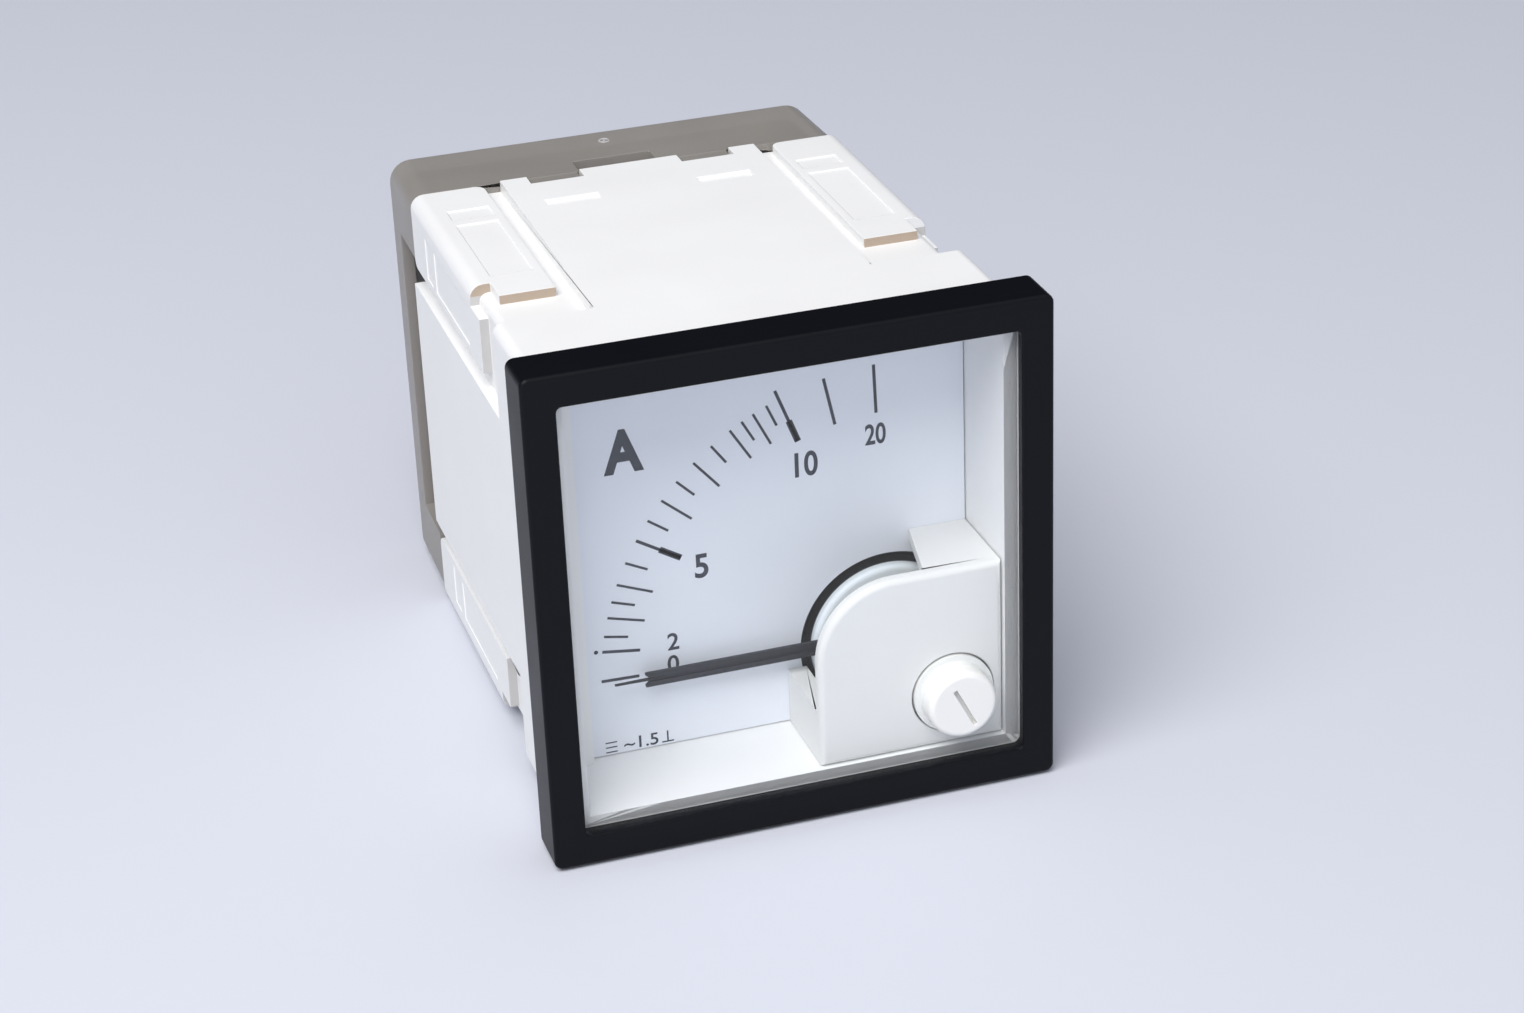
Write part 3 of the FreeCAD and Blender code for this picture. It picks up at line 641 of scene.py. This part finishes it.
RAISE = 0.95
BAR_START = 0.5
BAR_END = 23.3
BAR_WIDTH = 1.45
BAR_GROOVE = 0.4
FORK = 0.8
FORK_NOTCH_R = 0.5
TIP = 27.0
NEEDLE_WIDTH = 0.32
NEEDLE_TAPER = 0.55
POINTER_RING_R = 1.7
POINTER_BORE_R = 0.95
TAIL_SPREAD = 35
TAIL_END = 3.9
TAIL_WIDTH = 0.7


def arm(outer, inner, y0, y1, width):
    """A straight strip of the pointer at rest, between two distances to the left of its axis."""
    z = PIVOT.z + RAISE
    return brick(PIVOT.x - outer, PIVOT.x - inner, y0, y1, z - width / 2, z + width / 2)


def pointer_needle(box):
    needle = arm(TIP, BAR_END - 2, box.front + 0.1, box.back, NEEDLE_WIDTH)
    z = PIVOT.z + RAISE
    for vertex in needle.data.vertices:
        if vertex.co.x < PIVOT.x - TIP + 0.1:
            vertex.co.z = z + (vertex.co.z - z) * NEEDLE_TAPER
    return needle


def make_pointer():
    """Channel-section bar with a forked end, a fine needle, and two tails for the balance weights."""
    box = Span("pointer")
    before = box.front - PAST
    behind = box.back + PAST
    bar = arm(BAR_END + FORK, BAR_START, box.front, box.back, BAR_WIDTH)
    cut(bar, arm(BAR_END + 2, 2.4, before, box.front + 0.17, BAR_GROOVE))
    cut(bar, disc(PIVOT.x - BAR_END - 0.95, PIVOT.z + RAISE, FORK_NOTCH_R, before, behind, 24))
    needle = pointer_needle(box)
    ring = disc(PIVOT.x, PIVOT.z, POINTER_RING_R, box.front, box.back, 64)
    tails = []
    half = TAIL_WIDTH / 2
    for way in (-TAIL_SPREAD, TAIL_SPREAD):
        tail = brick(PIVOT.x + 1, PIVOT.x + TAIL_END, box.front, box.back, PIVOT.z - half, PIVOT.z + half)
        tails.append(turned(tail, way, PIVOT.x, PIVOT.z))
    weld(bar, needle, ring, *tails)
    cut(bar, disc(PIVOT.x, PIVOT.z, POINTER_BORE_R, before, behind, 48))
    soften(bar, 0.04, 2)
    return done(bar, "pointer_arm", "pointer", "pointer_grey", "pointer")


# ---------------------------------------------------------------- printed scale

INK = 0.015
SCALE_OUT = 27.9
LONG_IN = 24.3
SHORT_IN = 25.6
MARK_IN = 23.1
# Reading in amperes and its angle from the left towards the top, which crowds towards both ends
SCALE_ANGLES = {
    0: 1.65, 2: 7.9, 2.5: 11.1, 3: 15.0, 3.5: 18.3, 4: 21.9, 4.5: 26.5, 5: 31.3, 5.5: 35.7,
    6: 40.3, 6.5: 44.8, 7: 49.5, 7.5: 54.0, 8: 58.5, 8.5: 61.2, 9: 63.7, 9.5: 66.6, 10: 69.2,
    15: 78.4, 20: 88.3,
}


def tick(inner, outer_end, width, angle):
    half = width / 2
    left, right = PIVOT.x - outer_end, PIVOT.x - inner
    mark = brick(left, right, DIAL.front - INK, DIAL.front, PIVOT.z - half, PIVOT.z + half)
    return turned(mark, angle, PIVOT.x, PIVOT.z)


def make_scale():
    """One tick for every reading; 5, 10, 15 and 20 reach further in, and 5 and 10 are thick there."""
    marks = []
    for reading, angle in SCALE_ANGLES.items():
        numbered = reading in (0, 2, 5, 10, 15, 20)
        inner = MARK_IN if reading in (5, 10, 15, 20) else (LONG_IN if reading == int(reading) else SHORT_IN)
        end = SCALE_OUT + (0.9 if reading == 10 else 0.0)
        marks.append(tick(inner, end, 0.3 if numbered else 0.24, angle))
        if reading in (5, 10):
            marks.append(tick(MARK_IN, 25.4, 0.62, angle))
    dot = disc(PIVOT.x - 28.5, PIVOT.z, 0.2, DIAL.front - INK, DIAL.front, 20)
    marks.append(turned(dot, SCALE_ANGLES[2], PIVOT.x, PIVOT.z))
    use(*marks)
    bpy.ops.object.join()
    return done(bpy.context.object, "scale_marks", "case", "pointer_grey", finish=SCALE_INK)


def lettering(name, words, x, z, height, width, weight=0.0):
    """Text printed on the dial, centred on (x, z) and of this height and width."""
    bpy.ops.object.select_all(action="DESELECT")
    bpy.ops.object.text_add(location=(0, 0, 0), rotation=(math.pi / 2, 0, 0))
    piece = bpy.context.object
    piece.data.body = words
    piece.data.extrude = 0.02
    piece.data.offset = weight
    bpy.ops.object.convert(target="MESH")
    piece = settle()
    low = [min(v.co[axis] for v in piece.data.vertices) for axis in range(3)]
    high = [max(v.co[axis] for v in piece.data.vertices) for axis in range(3)]
    spans = (width / (high[0] - low[0]), INK / (high[1] - low[1]), height / (high[2] - low[2]))
    piece.scale = spans
    piece.location = (
        x - spans[0] * (low[0] + high[0]) / 2,
        DIAL.front - spans[1] * high[1],
        z - spans[2] * (low[2] + high[2]) / 2,
    )
    settle()
    return done(piece, name, "case", "pointer_grey", finish=SCALE_INK)


def make_lettering():
    lettering("label_unit", "A", -12.45, 10.35, 4.3, 3.75, 0.04)
    lettering("label_5", "5", -5.75, -2.4, 2.45, 1.3, 0.02)
    lettering("label_10", "10", 4.6, 6.0, 2.5, 2.2, 0.02)
    lettering("label_20", "20", 11.3, 7.8, 2.1, 2.0, 0.02)
    lettering("label_2", "2", -8.8, -9.6, 1.75, 1.1, 0.015)
    lettering("label_0", "0", -8.9, -11.9, 1.75, 1.1, 0.015)
    lettering("label_class", "~1.5", -12.4, -19.4, 1.25, 3.3, 0.01)
    for step in range(3):
        done(brick(-15.8, -14.7, DIAL.front - INK, DIAL.front, -20.0 + 0.5 * step, -19.88 + 0.5 * step),
             "label_iron_" + "abc"[step], "case", "pointer_grey", finish=SCALE_INK)
    upright = brick(-9.9, -9.75, DIAL.front - INK, DIAL.front, -20.0, -18.8)
    foot = brick(-10.4, -9.25, DIAL.front - INK, DIAL.front, -20.0, -19.86)
    done(weld(upright, foot), "label_upright", "case", "pointer_grey", finish=SCALE_INK)


# ---------------------------------------------------------------- case

CORE = 21.1
INSIDE = 20.3
PAD_HALF = 22.0
PAD_INNER = 14.7
PANEL_HALF = 13.0
FLANGE_END = 12.0
PAD_FRONT = 18.5
PAD_CORNER = 20
PAD_CORNER_FRONT = 21.8
RECESS = 0.12
WALL_FRONT = 43.4
WALL_BACK = 45.0
CASE_BACK = 46.5
TERMINAL_X = 9.5
TONGUE = (5.0, 10.3)


def at_inner_rear_corner(edge):
    a, b = ends(edge)
    inner_x = max(a.x, b.x) < PAD_INNER + 1e-3
    inner_z = max(a.z, b.z) < PAD_INNER + 1e-3
    return in_plane(edge, CASE_BACK) and inner_x != inner_z


def case_outside():
    body = round_edges(square(CORE, 0, CASE_BACK), along_y, 0.8, 4)
    flange = round_edges(square(CASE.right, CASE.front, FLANGE_END), along_y, 1.0, 4)
    column = brick(PAD_INNER, PAD_HALF, PAD_FRONT, CASE_BACK, PAD_INNER, PAD_HALF)
    cut(column, brick(PAD_CORNER, 30, 0, PAD_CORNER_FRONT, PAD_CORNER, 30))
    round_edges(column, lambda e: along_y(e) and ends(e)[0].x > 21 and ends(e)[0].z > 21, 1.3, 5)
    round_edges(column, at_inner_rear_corner, 1.0, 4)
    panel = brick(-PANEL_HALF, PANEL_HALF, 11.5, CASE_BACK, CORE - 1, CASE.right)
    return weld(body, flange, *four_faces(column), *four_faces(panel))


def case_face_cuts():
    """Shallow recesses on the two pads of the top face."""
    cuts = []
    for side in (-1, 1):
        pad = sorted((side * (PAD_INNER + 0.8), side * 19.6))
        cuts.append(brick(*pad, 23.5, 37.0, PAD_HALF - RECESS, 30))
        cuts.append(brick(*pad, 38.4, 40.9, PAD_HALF - RECESS, 30))
    return cuts


def case_tongue_cuts():
    cuts = []
    for side in (-1, 1):
        span = sorted(side * x for x in TONGUE)
        cuts.append(brick(*span, 44.5, 50, INSIDE - 1, 30))
        cuts.append(brick(*span, 40, 50, INSIDE - 1.4, INSIDE + 0.02))
        cuts.append(brick(*span, 38.0, 39.6, CASE.right - 0.3, 30))
    return cuts


def make_case():
    body = case_outside()
    cut(body, square(21.42, -2, 8.3), square(INSIDE, 7.3, WALL_FRONT), square(INSIDE, WALL_BACK, 60))
    for piece in case_face_cuts():
        cut(body, *four_faces(piece))
    for piece in case_tongue_cuts():
        cut(body, turned(twin(piece), 180), piece)
    for side in (-1, 1):
        cut(body, disc(side * TERMINAL_X, 0, 3.35, 30, 50, 48))
        span = sorted((side * 4.95, side * 6.05))
        cut(body, brick(*span, 30, 50, -1.85, 1.85))
    barrier = brick(-0.7, 0.7, WALL_FRONT + 0.1, 54.5, -12, 12)
    shelves = [brick(-14.5, 14.5, WALL_FRONT + 0.1, 47.0, *sorted((z * 5.2, z * 6.2))) for z in (-1, 1)]
    weld(body, barrier, *shelves)
    soften(body, 0.1, 2, 40)
    divide(body, (-15.7, -2.9, 2.9, 15.7), (-15.7, -6.8, 6.8, 15.7))
    return done(body, "case_body", "case", "white_plastic", "main_case")


# ---------------------------------------------------------------- rear

REAR_WALL = 1.2
REAR_CORNER = 2.2
ENTRY = (-14.5, 15.5)
ENTRY_BACK = 53.5
SCOOP = (-4.9, 3.0)
SCOOP_BACK = 49.5
DRIVER_HOLE_R = 3.4


def tapered(half, corner, y0, back_half, y1):
    """Square block that narrows towards its back, with rounded corners."""
    piece = square(half, y0, y1)
    pick(piece, lambda f: f.normal.y > 0.9, "FACE")
    bpy.ops.transform.resize(value=(back_half / half, 1, back_half / half), center_override=(0, y1, 0))
    close()
    return round_edges(piece, lambda e: abs(ends(e)[0].y - ends(e)[1].y) > 1, corner, 7)


def gate_ring(x, y, z):
    """The moulding gate's mark on the cover's top: a low broken ring with a pip."""
    bpy.ops.object.select_all(action="DESELECT")
    bpy.ops.mesh.primitive_torus_add(
        location=(x, y, z), major_radius=0.5, minor_radius=0.1, major_segments=40, minor_segments=10)
    ring = settle()
    cut(ring, brick(x + 0.2, x + 1, y - 0.25, y + 0.15, z - 1, z + 1))
    bpy.ops.object.select_all(action="DESELECT")
    bpy.ops.mesh.primitive_cone_add(vertices=20, radius1=0.2, radius2=0.08, depth=0.16, location=(x, y, z))
    return weld(ring, settle())


def make_rear_cover():
    back_half = REAR.right - 0.15
    shell = tapered(REAR.right, REAR_CORNER, CASE_BACK, back_half, REAR.back)
    round_edges(shell, lambda e: in_plane(e, REAR.back), 0.6, 4)
    inside = REAR.right - REAR_WALL
    cut(shell, tapered(inside, 1.2, CASE_BACK - 1, back_half - REAR_WALL, REAR.back - REAR_WALL))
    for side in (-1, 1):
        cut(shell, brick(*sorted((side * 17, side * 25)), 40, ENTRY_BACK, *ENTRY))
        cut(shell, disc(side * TERMINAL_X, 0, DRIVER_HOLE_R, 50, 60, 64))
    cut(shell, brick(*SCOOP, 40, SCOOP_BACK, 15, 25))
    for half_turn in (0, 180):
        for side in (-1, 1):
            span = sorted((side * (TONGUE[0] + 0.2), side * (TONGUE[1] - 0.2)))
            seat = brick(*span, 44.7, CASE_BACK + 0.1, INSIDE - 0.5, REAR.right - 0.02)
            left, right = span[0] + 0.1, span[1] - 0.1
            tongue = brick(left, right, REAR.front, CASE_BACK + 1.5, INSIDE - 1.1, INSIDE - 0.2)
            weld(shell, turned(seat, half_turn), turned(tongue, half_turn))
    soften(shell, 0.1, 2, 40)
    divide(shell, (-16.5, 0.0, 16.5), (-16.5, 0.0, 16.5))
    mark_z = REAR.right - 0.12
    gate = gate_ring(-0.3, 54.3, mark_z)
    done(gate, "gate_mark", "rear_cover", "smoke_plastic", finish=SMOKE_LIGHT)
    sill = brick(-4.8, 2.9, CASE_BACK + 0.15, 49.3, 19.6, 20.1)
    done(soften(sill, 0.1), "scoop_sill", "rear_cover", "smoke_plastic", finish=SMOKE_LIGHT)
    return done(shell, "smoke_cover", "rear_cover", "smoke_plastic", "rear_cover")


def make_terminals():
    for side_name, side in (("left", -1), ("right", 1)):
        x = side * TERMINAL_X
        clamp_box = Span("clamp_washer_" + side_name)
        middle = clamp_box.front + 1.0
        clamp = brick(x - 4, x + 4, clamp_box.front, middle, -4, 4)
        round_edges(clamp, along_y, 0.5, 3)
        washer = disc(x, 0, 3.8, middle - 0.05, clamp_box.back, 64)
        cut(weld(clamp, washer), disc(x, 0, 2.08, 40, 60, 48))
        soften(clamp, 0.08, 2)
        done(clamp, "clamp_" + side_name, "clamp_" + side_name, "zinc_steel", "clamp_washer_" + side_name)
        screw_box = Span("terminal_screw_" + side_name)
        head = disc(x, 0, 3.4, clamp_box.back, screw_box.back, 64)
        round_edges(head, lambda e: in_plane(e, screw_box.back), 0.6, 5)
        slot = brick(x - 2.6, x + 2.6, screw_box.back - 1.2, 60, -0.45, 0.45)
        cross = turned(brick(x - 1.9, x + 1.9, screw_box.back - 1.5, 60, -0.4, 0.4), 90, x, 0)
        shank = disc(x, 0, 2.0, screw_box.front, clamp_box.back + 0.1, 48)
        cut(head, slot, cross)
        soften(head, 0.06, 2, 45)
        weld(head, shank)
        done(head, "screw_" + side_name, "screw_" + side_name, "zinc_steel", "terminal_screw_" + side_name)


# ---------------------------------------------------------------- stage

AIM = Vector((-1.0, 2.7, 4.6))
DISTANCE = 295.8
AZIMUTH = -16.9
ELEVATION = 26.2
ROLL = -2.4
LENS = 78.2
TABLE_TILT = math.degrees(math.atan2(2.0, 46.5))


def direction(azimuth, elevation):
    """From the object towards a viewer; azimuth 0 is in front and 90 is on the right."""
    a = math.radians(azimuth)
    e = math.radians(elevation)
    return Vector((math.sin(a) * math.cos(e), -math.cos(a) * math.cos(e), math.sin(e)))


def make_camera():
    data = bpy.data.cameras.new("camera")
    data.lens = LENS
    data.sensor_width = 36
    data.clip_start = 0.01
    camera = bpy.data.objects.new("camera", data)
    bpy.context.scene.collection.objects.link(camera)
    way = direction(AZIMUTH, ELEVATION)
    camera.location = (AIM + way * DISTANCE) * MM
    turn = (-way).to_track_quat("-Z", "Y").to_matrix() @ Matrix.Rotation(math.radians(ROLL), 3, "Z")
    camera.rotation_euler = turn.to_euler()
    bpy.context.scene.camera = camera


def soft_light(name, azimuth, elevation, distance, size, watts, colour=(1, 1, 1)):
    data = bpy.data.lights.new(name, "AREA")
    data.shape = "DISK"
    data.size = size * MM
    data.energy = watts
    data.color = colour
    lamp = bpy.data.objects.new(name, data)
    bpy.context.scene.collection.objects.link(lamp)
    way = direction(azimuth, elevation)
    lamp.location = way * distance * MM
    lamp.rotation_euler = (-way).to_track_quat("-Z", "Y").to_euler()


def make_stage():
    """Pale table under the two edges that the meter rests on, a wide soft key light and a bright room."""
    bpy.ops.object.select_all(action="DESELECT")
    bpy.ops.mesh.primitive_plane_add(size=6)
    table = bpy.context.object
    table.name = "table"
    bpy.ops.object.transform_apply(scale=True)
    table.rotation_euler = (math.radians(TABLE_TILT), 0, 0)
    table.location = (0, 0, (BEZEL.bottom - 0.03) * MM)
    finish = Finish("table_top", (0.60, 0.62, 0.69), 0.75)
    table.data.materials.append(finish.material)
    soft_light("key", -45, 56, 700, 560, 5.2, (1.0, 0.985, 0.965))
    soft_light("front", -12, 14, 700, 600, 0.45, (0.97, 0.985, 1.0))
    world = bpy.data.worlds.new("room")
    world.use_nodes = True
    sky = world.node_tree.nodes["Background"]
    way = Tone(world.node_tree, world.node_tree.nodes.new("ShaderNodeTexCoord").outputs["Generated"])
    behind = way.split("Y").map_range(0.1, 0.6) * way.split("Z").map_range(0.85, 0.6)
    sky.inputs["Strength"].default_value = 0.56
    colour = behind.blend((0.88, 0.91, 1.0, 1), (0.04, 0.04, 0.05, 1))
    world.node_tree.links.new(colour.socket, sky.inputs["Color"])
    bpy.context.scene.world = world
    bpy.context.scene.view_settings.view_transform = "Standard"


dress_cad_nodes()
make_camera()
make_stage()
make_bezel()
make_window()
make_cover()
make_knob()
make_pointer()
make_scale()
make_lettering()
make_case()
make_rear_cover()
make_terminals()
